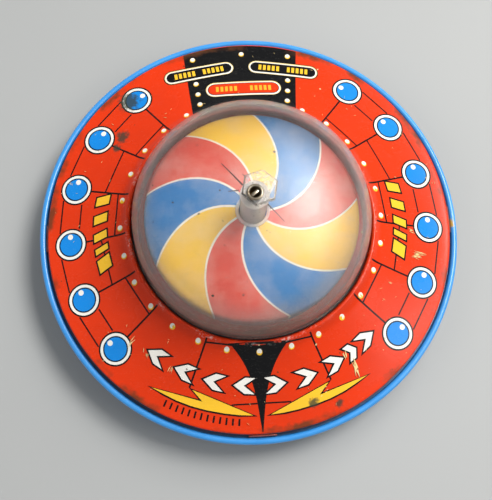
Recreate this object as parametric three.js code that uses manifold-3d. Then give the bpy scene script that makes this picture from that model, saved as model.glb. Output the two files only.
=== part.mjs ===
// A flying-saucer spinning top with a pump rod, in millimetres, +Z up.
// The origin is on the floor, under the spin axis. -Y is the side that the pointed black stripe faces.
// A flat foot stands still on the floor. The saucer spins on the foot's hollow post. A twisted rod slides
// through a slotted nut under the dome's top, and turns the nut as it is pulled up or pushed down.

import * as THREE from "three";
import { mergeVertices } from "three/addons/utils/BufferGeometryUtils.js";
import Module from "manifold-3d";

const wasm = await Module();
wasm.setup();

// ---- driving dimensions ----

const seatGap = 0.3; // left between any two pieces that rest on or fit into each other
const turnGap = 0.25; // radial running clearance round the post
const fineSides = 48; // facets round the large pieces
const smallSides = 20; // facets round the small ones

const rimRadius = 75; // overall radius, at the outside of the rim bead
const rimHeight = 14; // middle of the rim bead above the floor
const beadRadius = 1.2;
const grooveWidth = 1.75; // between the bead and the shoulder that carries the cover
const grooveDrop = 0.4; // groove floor below the middle of the bead
const panWall = 1.6;
const shoulderWall = 1.5;
const panCentreHeight = 9.2; // underside of the pan near the hub, above the floor
const panRimRise = 3; // underside of the pan at the groove, above its underside near the hub
const panFlatRadius = 20; // the underside is flat out to here

const tinWall = 0.4; // the pressed tin of the cover and of the swirl dome
const coverEdgeRise = 3.5; // top of the cover's edge above the middle of the bead
const coverEdgeRound = 0.7;
const coverLipHeight = 1.9; // depth of the turned-down lip round the cover's edge
const coverEdgeSlope = 9; // degrees, just inside the edge
const coverInnerSlope = 24; // degrees, where the flank meets the collar
const collarRise = 14.6; // crest of the collar above the middle of the bead
const collarRoll = 0.8; // radius of the roll at the collar's crest
const collarGap = 1.1; // between the dome and the collar's neck, where the gasket lies
const collarFootWidth = 1.6; // from the collar's roll to the flank
const collarFootDrop = 2.2; // top of the flank below the collar's crest
const ledgeDrop = 3.9; // ledge that carries the dome, below the collar's crest
const ledgeWidth = 6.2;
const ledgeBend = 0.6;
const tabCount = 4;
const tabWidth = 9.5;
const tabFoot = 3.4; // length that is folded in under the pan
const tabOverlap = 0.5; // length of the tab behind the cover's lip, where the two are one sheet

const domeRadius = 40.4;
const domeWall = 1.2;
const domeSkirt = 3.3; // straight part above the ledge
const domeRise = 29.2; // from the top of the skirt to the apex
const domeSquareness = 2.5; // 2 is an ellipse, and more is boxier
const domeFlangeWidth = 0.5;
const domeFlangeHeight = 1;
const bossAcross = 11.6; // hexagonal boss at the apex, across its corners
const bossHeight = 0.8;
const gasketRadius = 0.25;

const swirlInset = 3; // between the swirl dome and the inside of the clear dome
const swirlSkirt = 9.4; // height of the swirl dome's shoulder above the ledge
const swirlRound = 1.6;
const swirlCrown = 4; // rise of its middle above its shoulder
const hubCollarWall = 1.1;
const hubCollarHeight = 0.9;

const postWall = 0.75;
const postTop = 20.4; // above the floor
const postFlare = 1.1; // how far the post's lower end is turned out
const postFlareHeight = 0.5;
const clipHeight = 0.4;
const clipWidth = 0.65;
const clipGrooveDepth = 0.4;
const postChamfer = 0.4;
const bushWall = 1.25;
const bushFlange = 1.6;
const bushFlangeHeight = 0.7;
const bushLength = 7.4; // above its flange
const hubWall = 2.4;
const hubHeight = 10.5; // of the pan's hub above the pan's underside
const tubeWall = 0.8;

const footRadius = 19;
const footHubRadius = 6.5;
const footEdgeHeight = 1.6;
const footConeRise = 2.7;
const footHubRise = 0.7;
const footHubStep = 1; // from the hub's side to the top of the cone
const footChamferWidth = 0.6;
const footChamferHeight = 0.5;
const padHeight = 2;
const padOverhang = 0.5;
const padWidth = 8;
const padChamferWidth = 0.4;
const padChamferHeight = 0.5;
const washerHeight = 0.5;

const rodWidth = 2.8;
const rodThickness = 1;
const rodLead = 40; // height of one full turn of the twist
const rodBottom = 8; // above the floor, with the rod pushed home
const rodRecess = 0.9; // top of the rod below the top of the eyelet
const rodEarSpread = 0.4; // the rod's foot is pinched into ears, which stop it from pulling out
const rodEarHeight = 1.8;
const rodEarThickness = 0.9;
const rodTip = 0.2; // length of plain strip below the ears
const rodPlay = 0.2; // between the rod's corners and each round hole that it slides in
const eyeletWall = 0.5;
const eyeletRoll = 0.8; // width of the lower roll, which holds the clutch cup
const eyeletTopRoll = 0.45;
const eyeletRollHeight = 0.4;
const eyeletMouthWidth = 0.15;
const eyeletMouthHeight = 0.2;
const cupWall = 0.6;
const cupLip = 0.6;
const plateWidth = 2; // of the plate's ring and of the nut, outside the bore
const plateHeight = 0.6;
const nutHeight = 1.5;
const nutSlotPlay = 0.25; // round the rod's width and its thickness, on each side
const toothCount = 6;
const toothHeight = 0.45;
const toothInset = 0.4; // of the teeth from the plate's bore
const toothLengthShare = 0.9; // length of a tooth over the distance from the axis to its near end
const toothSink = 0.1; // depth of a tooth's root in the plate or the nut
const toothRestGap = 0.35; // the nut hangs this far clear of the plate's teeth

// ---- sizes and places that follow from them ----

const beadCentre = rimRadius - beadRadius;
const shoulderRadius = beadCentre - beadRadius - grooveWidth;
const grooveFloor = rimHeight - grooveDrop;
const coverEdgeRadius = shoulderRadius + seatGap + tinWall;
const coverEdgeTop = rimHeight + coverEdgeRise;
const collarCrest = rimHeight + collarRise;
const neckRadius = domeRadius + collarGap; // inner face of the collar's neck
const ledgeTop = collarCrest - ledgeDrop;
const domeBottom = ledgeTop + seatGap;
const domeShoulder = domeBottom + domeSkirt;
const domeApex = domeShoulder + domeRise;
const bossTop = domeApex + bossHeight;
const swirlRadius = domeRadius - domeWall - swirlInset;
const swirlShoulder = ledgeTop + seatGap + swirlSkirt;

const rodCorner = Math.hypot(rodWidth, rodThickness) / 2;
const rodEarWidth = rodWidth + 2 * rodEarSpread;
const eyeletBore = rodCorner + rodPlay;
const plateBore = rodCorner + rodPlay;
const clutchRadius = plateBore + plateWidth;
const cupRadius = clutchRadius + seatGap + cupWall;
const postBore = Math.hypot(rodEarWidth, rodEarThickness) / 2 + rodPlay;
const postRadius = postBore + postWall;
const bushBore = postRadius + turnGap;
const bushRadius = bushBore + bushWall;
const hubBore = bushRadius + seatGap;
const tubeRadius = bushRadius;
const swirlBore = tubeRadius + seatGap;

const footBottom = padHeight + seatGap;
const footTop = footBottom + footEdgeHeight + footConeRise + footHubRise;
const thrustBottom = footTop + seatGap;
const bushFlangeBottom = thrustBottom + washerHeight + seatGap;
const bushTop = bushFlangeBottom + bushFlangeHeight + bushLength;
const clipBottom = bushTop + seatGap;
const clipBore = postRadius - clipGrooveDepth + turnGap;
const clipRadius = postRadius + clipWidth - turnGap;

const eyeletTop = bossTop + seatGap + eyeletRollHeight;
const eyeletRadius = eyeletBore + eyeletWall;
const washerTop = domeApex - domeWall - seatGap;
const cupTop = washerTop - washerHeight - seatGap;
const eyeletRollTop = cupTop - cupWall - seatGap;
const nutTop = eyeletRollTop - eyeletRollHeight - seatGap;
const nutBottom = nutTop - nutHeight;
const plateTeethTop = nutBottom - toothHeight - toothRestGap;
const plateTop = plateTeethTop - toothHeight;
const plateBottom = plateTop - plateHeight;
const cupBottom = plateBottom - seatGap - cupWall;
const rodTop = eyeletTop - rodRecess;

const swirlTop = swirlShoulder + swirlCrown;
const collarTop = swirlTop + seatGap + hubCollarHeight;
const tabFootTop = panUnderside(coverEdgeRadius - tabFoot) - seatGap;
const rodAngle = (height) => (2 * Math.PI * (height - nutTop)) / rodLead;

// ---- shared shapes ----

const weldDistance = 1e-4;
const cutReach = 1; // how far a cutting tool runs past the piece that it cuts

const material = (color, roughness, metalness = 0, opacity = 1) =>
  new THREE.MeshStandardMaterial({ color, roughness, metalness, opacity, transparent: opacity < 1 });

const bluePlastic = material(0x2f8fe0, 0.35);
const printedTin = material(0xe8401c, 0.35, 0.2);
const swirlTin = material(0xf0c040, 0.4, 0.2);
const clearPlastic = material(0xe6e2da, 0.12, 0, 0.35);
const blackRubber = material(0x1a1918, 0.7);
const steel = material(0x8d8578, 0.45, 0.9);
const brass = material(0xb08d4a, 0.4, 0.9);
const fibre = material(0x6d4a35, 0.9);

const arc = (centreR, centreZ, radius, fromDegrees, toDegrees, steps) =>
  Array.from({ length: steps + 1 }, (_, i) => {
    const angle = THREE.MathUtils.degToRad(fromDegrees + ((toDegrees - fromDegrees) * i) / steps);
    return [centreR + radius * Math.cos(angle), centreZ + radius * Math.sin(angle)];
  });

const signedArea = (loop) =>
  loop.reduce((sum, [r, z], i) => {
    const [nextR, nextZ] = loop[(i + 1) % loop.length];
    return sum + (r * nextZ - nextR * z) / 2;
  }, 0);

// Turns a closed outline of [radius, height] points about the Z axis.
function turned(loop, sides = smallSides) {
  const outward = signedArea(loop) > 0 ? loop : [...loop].reverse();
  const points = [...outward, outward[0]].map(([r, z]) => new THREE.Vector2(r, z));
  return new THREE.LatheGeometry(points, sides).rotateX(Math.PI / 2);
}

// The outline of a pressed sheet: a line of [radius, height] points, and the same line moved sideways.
// A positive thickness moves it to the right of the way that the line runs.
function sheet(line, thickness) {
  const normal = (i) => {
    const [r0, z0] = line[Math.max(i - 1, 0)];
    const [r1, z1] = line[Math.min(i + 1, line.length - 1)];
    const length = Math.hypot(r1 - r0, z1 - z0);
    return [(z1 - z0) / length, -(r1 - r0) / length];
  };
  const moved = line.map(([r, z], i) => {
    const [normalR, normalZ] = normal(i);
    return [r + normalR * thickness, z + normalZ * thickness];
  });
  return [...line, ...moved.reverse()];
}

const ring = (innerRadius, outerRadius, bottom, top, sides = smallSides) =>
  turned(
    [
      [innerRadius, bottom],
      [outerRadius, bottom],
      [outerRadius, top],
      [innerRadius, top],
    ],
    sides,
  );

// A box by its lowest and highest corners.
function block(low, high) {
  const box = new THREE.Box3(new THREE.Vector3(...low), new THREE.Vector3(...high));
  const size = box.getSize(new THREE.Vector3());
  const centre = box.getCenter(new THREE.Vector3());
  return new THREE.BoxGeometry(size.x, size.y, size.z).translate(centre.x, centre.y, centre.z);
}

function solid(geometry) {
  const bare = geometry.clone();
  bare.deleteAttribute("normal");
  bare.deleteAttribute("uv");
  const merged = mergeVertices(bare, weldDistance);
  return new wasm.Manifold(
    new wasm.Mesh({
      numProp: 3,
      vertProperties: Float32Array.from(merged.attributes.position.array),
      triVerts: Uint32Array.from(merged.index.array),
    }),
  );
}

function geometryOf(made) {
  const mesh = made.getMesh();
  const geometry = new THREE.BufferGeometry();
  geometry.setAttribute("position", new THREE.BufferAttribute(Float32Array.from(mesh.vertProperties), 3));
  geometry.setIndex(new THREE.BufferAttribute(Uint32Array.from(mesh.triVerts), 1));
  geometry.computeVertexNormals();
  return geometry;
}

const joined = (base, extras) =>
  geometryOf(extras.reduce((whole, extra) => whole.add(solid(extra)), solid(base)));

const cutBy = (base, tools) =>
  geometryOf(tools.reduce((whole, tool) => whole.subtract(solid(tool)), solid(base)));

const aroundAxis = (count, make) =>
  Array.from({ length: count }, (_, i) => make().rotateZ((2 * Math.PI * i) / count));

// ---- the saucer ----

// Underside of the pan at a radius: flat near the hub, and then rising ever faster to the groove.
function panUnderside(radius) {
  const share = Math.max(0, radius - panFlatRadius) / (shoulderRadius - panFlatRadius);
  return panCentreHeight + panRimRise * share * share;
}

// The cover's flank, from just inside its edge up to the foot of the collar.
function coverFlank(steps) {
  const outer = new THREE.Vector2(coverEdgeRadius - coverEdgeRound, coverEdgeTop);
  const inner = new THREE.Vector2(
    neckRadius + 2 * collarRoll + collarFootWidth,
    collarCrest - collarFootDrop,
  );
  const outerFall = Math.tan(THREE.MathUtils.degToRad(coverEdgeSlope));
  const innerFall = Math.tan(THREE.MathUtils.degToRad(coverInnerSlope));
  const bendRadius =
    (inner.y - outer.y + innerFall * inner.x - outerFall * outer.x) / (innerFall - outerFall);
  const bend = new THREE.Vector2(bendRadius, outer.y + outerFall * (outer.x - bendRadius));
  return new THREE.QuadraticBezierCurve(outer, bend, inner).getPoints(steps).map(({ x, y }) => [x, y]);
}

function tabSlot() {
  const halfWidth = tabWidth / 2 + seatGap;
  return block(
    [shoulderRadius, -halfWidth, panCentreHeight],
    [coverEdgeRadius + seatGap, halfWidth, rimHeight + beadRadius],
  );
}

// One tab, straight down from the cover's lip and then in under the pan.
function tab() {
  const halfWidth = tabWidth / 2;
  const bottom = tabFootTop - tinWall;
  const dropTop = coverEdgeTop - coverLipHeight + tabOverlap;
  const drop = block(
    [coverEdgeRadius - tinWall, -halfWidth, bottom],
    [coverEdgeRadius, halfWidth, dropTop],
  );
  const foot = block(
    [coverEdgeRadius - tabFoot, -halfWidth, bottom],
    [coverEdgeRadius, halfWidth, tabFootTop],
  );
  return joined(drop, [foot]);
}

function lowerPan() {
  const stations = 5;
  const across = Array.from(
    { length: stations + 1 },
    (_, i) => panFlatRadius + ((shoulderRadius - panFlatRadius) * i) / stations,
  );
  const beadMeets = THREE.MathUtils.radToDeg(Math.asin(grooveDrop / beadRadius));
  const shoulderTop = coverEdgeTop - tinWall - seatGap;
  const hubRadius = hubBore + hubWall;
  const outline = [
    [hubBore, panCentreHeight],
    ...across.map((r) => [r, panUnderside(r)]),
    ...arc(beadCentre, rimHeight, beadRadius, -120, 180 + beadMeets, 10),
    [shoulderRadius, grooveFloor],
    [shoulderRadius, shoulderTop],
    [shoulderRadius - shoulderWall, shoulderTop],
    [shoulderRadius - shoulderWall, panUnderside(shoulderRadius) + panWall],
    ...across.slice(0, -1).reverse().map((r) => [r, panUnderside(r) + panWall]),
    [hubRadius, panCentreHeight + panWall],
    [hubRadius, panCentreHeight + hubHeight],
    [hubBore, panCentreHeight + hubHeight],
  ];
  return cutBy(turned(outline, fineSides), aroundAxis(tabCount, tabSlot));
}

function printedCover() {
  const crestRadius = neckRadius + collarRoll;
  const roundRadius = coverEdgeRadius - coverEdgeRound;
  const roundHeight = coverEdgeTop - coverEdgeRound;
  const line = [
    [coverEdgeRadius, coverEdgeTop - coverLipHeight],
    ...arc(roundRadius, roundHeight, coverEdgeRound, 0, 90, 3).slice(0, -1),
    ...coverFlank(6),
    ...arc(crestRadius, collarCrest - collarRoll, collarRoll, 30, 180, 4),
    ...arc(neckRadius - ledgeBend, ledgeTop + ledgeBend, ledgeBend, 0, -90, 2),
    [neckRadius - ledgeWidth, ledgeTop],
  ];
  // The line is the side that shows, except on the ledge, where it is the top.
  return joined(turned(sheet(line, -tinWall), fineSides), aroundAxis(tabCount, tab));
}

function clearDome() {
  const steps = 9;
  const crown = (radius, rise, from) =>
    Array.from({ length: steps + 1 }, (_, i) => {
      const angle = ((Math.PI / 2) * i) / steps;
      return [
        radius * Math.cos(angle) ** (2 / domeSquareness),
        from + rise * Math.sin(angle) ** (2 / domeSquareness),
      ];
    });
  const bore = eyeletRadius + seatGap;
  const pastBore = ([r]) => r > bore;
  const outer = [
    [domeRadius + domeFlangeWidth, domeBottom],
    [domeRadius + domeFlangeWidth, domeBottom + domeFlangeHeight],
    [domeRadius, domeBottom + domeFlangeHeight],
    ...crown(domeRadius, domeRise, domeShoulder).filter(pastBore),
    [bore, domeApex],
  ];
  const inner = [
    [bore, domeApex - domeWall],
    ...crown(domeRadius - domeWall, domeRise - domeWall, domeShoulder).filter(pastBore).reverse(),
    [domeRadius - domeWall, domeBottom],
  ];
  const boss = ring(bore, bossAcross / 2, domeApex - domeWall / 2, bossTop, 6);
  const drill = new THREE.CylinderGeometry(bore, bore, bossHeight + domeWall + 2 * cutReach, smallSides)
    .rotateX(Math.PI / 2)
    .translate(0, 0, (bossTop + domeApex - domeWall) / 2);
  return cutBy(joined(turned([...outer, ...inner], fineSides), [boss]), [drill]);
}

function domeGasket() {
  const centre = domeRadius + collarGap / 2;
  const height = domeBottom + domeFlangeHeight + seatGap + gasketRadius;
  return turned(arc(centre, height, gasketRadius, 0, 360, 6).slice(0, -1), fineSides);
}

function swirlDome() {
  const span = swirlRadius - swirlRound;
  const crownRadius = (span ** 2 + swirlCrown ** 2) / (2 * swirlCrown);
  const crownCentre = swirlShoulder + swirlCrown - crownRadius;
  const degrees = (radius) => THREE.MathUtils.radToDeg(Math.acos(radius / crownRadius));
  const line = [
    [swirlRadius, ledgeTop + seatGap],
    ...arc(swirlRadius - swirlRound, swirlShoulder - swirlRound, swirlRound, 0, 75, 3),
    ...arc(0, crownCentre, crownRadius, degrees(span - 1), degrees(swirlBore), 5),
  ];
  return turned(sheet(line, -tinWall), fineSides);
}

// ---- the pump rod and its clutch ----

function twistedStrip(width, thickness, bottom, top) {
  const steps = Math.max(2, Math.round(top - bottom));
  const outline = new THREE.Shape([
    new THREE.Vector2(-width / 2, -thickness / 2),
    new THREE.Vector2(width / 2, -thickness / 2),
    new THREE.Vector2(width / 2, thickness / 2),
    new THREE.Vector2(-width / 2, thickness / 2),
  ]);
  const geometry = new THREE.ExtrudeGeometry(outline, { depth: top - bottom, steps, bevelEnabled: false });
  geometry.translate(0, 0, bottom);
  const place = geometry.attributes.position;
  const point = new THREE.Vector3();
  const axis = new THREE.Vector3(0, 0, 1);
  for (let i = 0; i < place.count; i++) {
    point.fromBufferAttribute(place, i);
    point.applyAxisAngle(axis, rodAngle(point.z));
    place.setXYZ(i, point.x, point.y, point.z);
  }
  return geometry;
}

function twistedRod() {
  const ears = twistedStrip(rodEarWidth, rodEarThickness, rodBottom, rodBottom + rodEarHeight);
  return joined(twistedStrip(rodWidth, rodThickness, rodBottom - rodTip, rodTop), [ears]);
}

// One saw tooth, standing on z = 0 and steep on one side. Its far corner stays inside the clutch's rim.
function sawTooth() {
  const innerRadius = plateBore + toothInset;
  const length = innerRadius * toothLengthShare;
  const outerRadius = Math.sqrt((clutchRadius - toothInset / 2) ** 2 - length ** 2);
  const side = new THREE.Shape([
    new THREE.Vector2(0, -toothSink),
    new THREE.Vector2(length, -toothSink),
    new THREE.Vector2(length, 0),
    new THREE.Vector2(0, toothHeight),
  ]);
  return new THREE.ExtrudeGeometry(side, { depth: outerRadius - innerRadius, bevelEnabled: false })
    .rotateX(Math.PI / 2)
    .rotateZ(Math.PI / 2)
    .translate(innerRadius, 0, 0);
}

function driveNut() {
  const middle = (nutTop + nutBottom) / 2;
  const slotX = rodWidth / 2 + nutSlotPlay;
  const slotY = rodThickness / 2 + nutSlotPlay;
  const slot = block([-slotX, -slotY, nutBottom - cutReach], [slotX, slotY, nutTop + cutReach]);
  const teeth = aroundAxis(toothCount, () => sawTooth().rotateX(Math.PI).translate(0, 0, nutBottom));
  const disc = new THREE.CylinderGeometry(clutchRadius, clutchRadius, nutTop - nutBottom, smallSides)
    .rotateX(Math.PI / 2)
    .translate(0, 0, middle);
  return cutBy(joined(disc, teeth), [slot.rotateZ(rodAngle(middle))]);
}

function clutchPlate() {
  const teeth = aroundAxis(toothCount, () => sawTooth().translate(0, 0, plateTop));
  return joined(ring(plateBore, clutchRadius, plateBottom, plateTop), teeth);
}

function clutchCup() {
  const inside = cupRadius - cupWall;
  return turned([
    [eyeletRadius + seatGap, cupTop],
    [eyeletRadius + seatGap, cupTop - cupWall],
    [inside, cupTop - cupWall],
    [inside, cupBottom + cupWall],
    [inside - cupLip, cupBottom + cupWall],
    [inside - cupLip, cupBottom],
    [cupRadius, cupBottom],
    [cupRadius, cupTop],
  ]);
}

function topEyelet() {
  const lowerRoll = eyeletRadius + eyeletRoll;
  const topRoll = eyeletRadius + eyeletTopRoll;
  return turned([
    [eyeletBore, eyeletRollTop - eyeletRollHeight],
    [lowerRoll, eyeletRollTop - eyeletRollHeight],
    [lowerRoll, eyeletRollTop],
    [eyeletRadius, eyeletRollTop],
    [eyeletRadius, eyeletTop - eyeletRollHeight],
    [topRoll, eyeletTop - eyeletRollHeight],
    [topRoll, eyeletTop - eyeletRollHeight / 2],
    [topRoll - eyeletTopRoll / 2, eyeletTop],
    [eyeletBore + eyeletMouthWidth, eyeletTop],
    [eyeletBore, eyeletTop - eyeletMouthHeight],
  ]);
}

// ---- the foot and the bearing ----

function pivotPost() {
  const flareTop = footBottom - seatGap - washerHeight - seatGap;
  const groove = postRadius - clipGrooveDepth;
  return turned([
    [postBore, flareTop - postFlareHeight],
    [postRadius + postFlare, flareTop - postFlareHeight],
    [postRadius + postFlare, flareTop],
    [postRadius, flareTop],
    [postRadius, clipBottom - seatGap],
    [groove, clipBottom - seatGap],
    [groove, clipBottom + clipHeight + seatGap],
    [postRadius, clipBottom + clipHeight + seatGap],
    [postRadius, postTop - postChamfer],
    [postRadius - postChamfer, postTop],
    [postBore, postTop],
  ]);
}

function bearingBush() {
  return turned([
    [bushBore, bushFlangeBottom],
    [bushRadius + bushFlange, bushFlangeBottom],
    [bushRadius + bushFlange, panCentreHeight - seatGap],
    [bushRadius, panCentreHeight - seatGap],
    [bushRadius, bushTop],
    [bushBore, bushTop],
  ]);
}

function footCup() {
  const bore = postRadius + seatGap;
  const coneTop = footBottom + footEdgeHeight + footConeRise;
  return turned(
    [
      [bore, footBottom],
      [footRadius, footBottom],
      [footRadius, footBottom + footEdgeHeight - footChamferHeight],
      [footRadius - footChamferWidth, footBottom + footEdgeHeight],
      [footHubRadius + footHubStep, coneTop],
      [footHubRadius, footTop],
      [bore, footTop],
    ],
    fineSides,
  );
}

function footPad() {
  const outer = footRadius + padOverhang;
  return turned(
    [
      [outer - padWidth, 0],
      [outer - padChamferWidth, 0],
      [outer, padChamferHeight],
      [outer, padHeight],
      [outer - padWidth, padHeight],
    ],
    fineSides,
  );
}

// ---- assembly ----

const top = new THREE.Group();

function add(group, name, geometry, finish) {
  const mesh = new THREE.Mesh(geometry, finish);
  mesh.name = name;
  group.add(mesh);
}

const saucer = new THREE.Group();
add(saucer, "lower_pan", lowerPan(), bluePlastic);
add(saucer, "printed_cover", printedCover(), printedTin);
add(saucer, "clear_dome", clearDome(), clearPlastic);
add(saucer, "dome_gasket", domeGasket(), blackRubber);
add(saucer, "swirl_dome", swirlDome(), swirlTin);
add(
  saucer,
  "swirl_hub_collar",
  ring(swirlBore, swirlBore + hubCollarWall, collarTop - hubCollarHeight, collarTop),
  clearPlastic,
);
add(
  saucer,
  "guide_tube",
  ring(tubeRadius - tubeWall, tubeRadius, bushTop + seatGap, cupBottom - seatGap),
  clearPlastic,
);
add(saucer, "top_eyelet", topEyelet(), steel);
add(
  saucer,
  "clutch_washer",
  ring(eyeletRadius + seatGap, cupRadius, washerTop - washerHeight, washerTop),
  clearPlastic,
);
add(saucer, "clutch_cup", clutchCup(), clearPlastic);
add(saucer, "clutch_plate", clutchPlate(), steel);
add(saucer, "bearing_bush", bearingBush(), brass);

const foot = new THREE.Group();
add(foot, "foot_cup", footCup(), bluePlastic);
add(foot, "foot_pad", footPad(), blackRubber);
add(foot, "pivot_post", pivotPost(), steel);
add(
  foot,
  "post_washer",
  ring(postRadius + seatGap, footHubRadius, footBottom - seatGap - washerHeight, footBottom - seatGap),
  steel,
);
add(
  foot,
  "thrust_washer",
  ring(postRadius + seatGap, bushRadius + bushFlange, thrustBottom, thrustBottom + washerHeight),
  fibre,
);
add(
  foot,
  "retaining_clip",
  ring(clipBore, clipRadius, clipBottom, clipBottom + clipHeight),
  steel,
);

const pump = new THREE.Group();
add(pump, "twisted_rod", twistedRod(), steel);
add(pump, "drive_nut", driveNut(), brass);

top.add(saucer, foot, pump);

export default top;
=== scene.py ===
import math
import random

import bmesh
import bpy
from mathutils import Matrix, Vector


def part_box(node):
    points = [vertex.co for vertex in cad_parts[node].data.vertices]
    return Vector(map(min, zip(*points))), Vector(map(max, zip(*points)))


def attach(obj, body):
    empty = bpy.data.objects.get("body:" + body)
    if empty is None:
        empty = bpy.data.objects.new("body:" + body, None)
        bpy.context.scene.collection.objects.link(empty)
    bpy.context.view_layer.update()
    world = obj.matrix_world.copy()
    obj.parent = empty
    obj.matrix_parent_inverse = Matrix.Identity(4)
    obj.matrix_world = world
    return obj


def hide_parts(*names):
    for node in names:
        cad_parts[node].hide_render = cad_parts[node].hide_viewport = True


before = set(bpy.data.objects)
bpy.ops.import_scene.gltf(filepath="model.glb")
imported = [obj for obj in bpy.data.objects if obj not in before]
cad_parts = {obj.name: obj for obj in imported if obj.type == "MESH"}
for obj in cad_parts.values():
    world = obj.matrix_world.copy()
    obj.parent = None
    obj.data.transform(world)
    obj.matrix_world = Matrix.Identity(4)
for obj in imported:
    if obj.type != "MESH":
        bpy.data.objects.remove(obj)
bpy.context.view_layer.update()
scene = bpy.context.scene
mm = 0.001  # every size below is in millimetres and is multiplied by this where it meets a mesh
print("frame loaded")


# camera and light

def aimedAt(place, target, roll=0):
    look = (Vector(target) - Vector(place)).to_track_quat("-Z", "Y").to_matrix().to_4x4()
    return Matrix.Translation(place) @ look @ Matrix.Rotation(math.radians(roll), 4, "Z")


cameraSetup = {
    "place": (-0.0131, -0.0690, 0.2751),
    "target": (-0.0019, -0.0073, 0.014),
    "roll": 7.14,
    "lens": 54,
}


def makeCamera(setup):
    data = bpy.data.cameras.new("camera")
    data.lens = setup["lens"]
    data.clip_start = 0.01
    camera = bpy.data.objects.new("camera", data)
    camera.matrix_world = aimedAt(setup["place"], setup["target"], setup["roll"])
    scene.collection.objects.link(camera)
    scene.camera = camera


lightSetup = {
    "key": {"place": (0.40, 0.52, 0.66), "size": 0.5, "power": 4.2, "color": (1.0, 0.985, 0.96)},
    "glow": {"place": (0.42, 0.21, 0.77), "size": 0.34, "power": 6.2, "color": (1.0, 0.99, 0.97)},
    "side": {"place": (0.52, -0.16, 0.62), "size": 0.3, "power": 0.9, "color": (1.0, 1.0, 1.0)},
    "fill": {"place": (-0.65, -0.1, 0.55), "size": 0.7, "power": 1.4, "color": (0.93, 0.97, 1.0)},
}


skySetup = {
    "color": (0.86, 0.88, 0.9, 1),
    "strength": 0.34,
}


def makeLights(setup, sky):
    for name, light in setup.items():
        data = bpy.data.lights.new(name, "AREA")
        data.shape = "DISK"
        data.size = light["size"]
        data.energy = light["power"]
        data.color = light["color"]
        lamp = bpy.data.objects.new(name, data)
        lamp.matrix_world = aimedAt(light["place"], (0, 0, 0.02))
        lamp.visible_glossy = name in ("glow", "side")
        scene.collection.objects.link(lamp)
    world = bpy.data.worlds.new("studio")
    world.use_nodes = True
    background = world.node_tree.nodes["Background"].inputs
    background["Color"].default_value = sky["color"]
    background["Strength"].default_value = sky["strength"]
    scene.world = world
    scene.view_settings.view_transform = "Standard"


makeCamera(cameraSetup)
makeLights(lightSetup, skySetup)
print("camera and lights set")


# shader helpers

def polar(radius, degrees, side=1):
    angle = math.radians(degrees)
    return side * radius * math.cos(angle), radius * math.sin(angle)


def addNode(tree, kind, inputs=None, **settings):
    node = tree.nodes.new(kind)
    for key, value in settings.items():
        setattr(node, key, value)
    for key, value in (inputs or {}).items():
        if isinstance(value, bpy.types.NodeSocket):
            tree.links.new(value, node.inputs[key])
        else:
            node.inputs[key].default_value = value
    return node


def calc(tree, operation, a, b=0.0, clamp=False):
    return addNode(tree, "ShaderNodeMath", {0: a, 1: b}, operation=operation, use_clamp=clamp).outputs[0]


def times(tree, a, b, clamp=False):
    return calc(tree, "MULTIPLY", a, b, clamp)


def plus(tree, a, b, clamp=False):
    return calc(tree, "ADD", a, b, clamp)


def minus(tree, a, b):
    return calc(tree, "SUBTRACT", a, b)


def vectorCalc(tree, operation, a, b=(0, 0, 0)):
    node = addNode(tree, "ShaderNodeVectorMath", {0: a, 1: b}, operation=operation)
    return node.outputs["Value" if operation in ("LENGTH", "DISTANCE", "DOT_PRODUCT") else "Vector"]


def flatOf(tree, vector):
    return vectorCalc(tree, "MULTIPLY", vector, (1, 1, 0))


def radiusOf(tree, vector):
    return vectorCalc(tree, "LENGTH", flatOf(tree, vector))


def mixColor(tree, factor, a, b, blend="MIX"):
    node = addNode(tree, "ShaderNodeMix", data_type="RGBA", blend_type=blend, clamp_factor=True)
    for socket, value in ((node.inputs[0], factor), (node.inputs[6], a), (node.inputs[7], b)):
        if isinstance(value, bpy.types.NodeSocket):
            tree.links.new(value, socket)
        else:
            socket.default_value = value
    return node.outputs[2]


def remap(tree, value, low, high, toLow=0.0, toHigh=1.0):
    inputs = {"Value": value, "From Min": low, "From Max": high, "To Min": toLow, "To Max": toHigh}
    return addNode(tree, "ShaderNodeMapRange", inputs, clamp=True).outputs[0]


def noiseOf(tree, coords, scale, detail=3.0, roughness=0.5):
    inputs = {"Vector": coords, "Scale": scale, "Detail": detail, "Roughness": roughness}
    return addNode(tree, "ShaderNodeTexNoise", inputs).outputs[0]


socketKinds = {"Vector": "NodeSocketVector", "Centre": "NodeSocketVector", "Color": "NodeSocketColor"}


def newGroup(name, labels, results=("Mask",)):
    # every group takes a vector first, and a label that isn't in socketKinds is a plain number
    group = bpy.data.node_groups.new(name, "ShaderNodeTree")
    for direction, names in (("INPUT", ("Vector",) + labels), ("OUTPUT", results)):
        for label in names:
            kind = socketKinds.get(label, "NodeSocketFloat")
            group.interface.new_socket(name=label, in_out=direction, socket_type=kind)
    return group, group.nodes.new("NodeGroupInput").outputs, group.nodes.new("NodeGroupOutput").inputs


def maskOf(tree, group, *values):
    # the values go to the group's inputs in their order, the vector first
    return addNode(tree, "ShaderNodeGroup", dict(enumerate(values)), node_tree=group).outputs[0]


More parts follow.
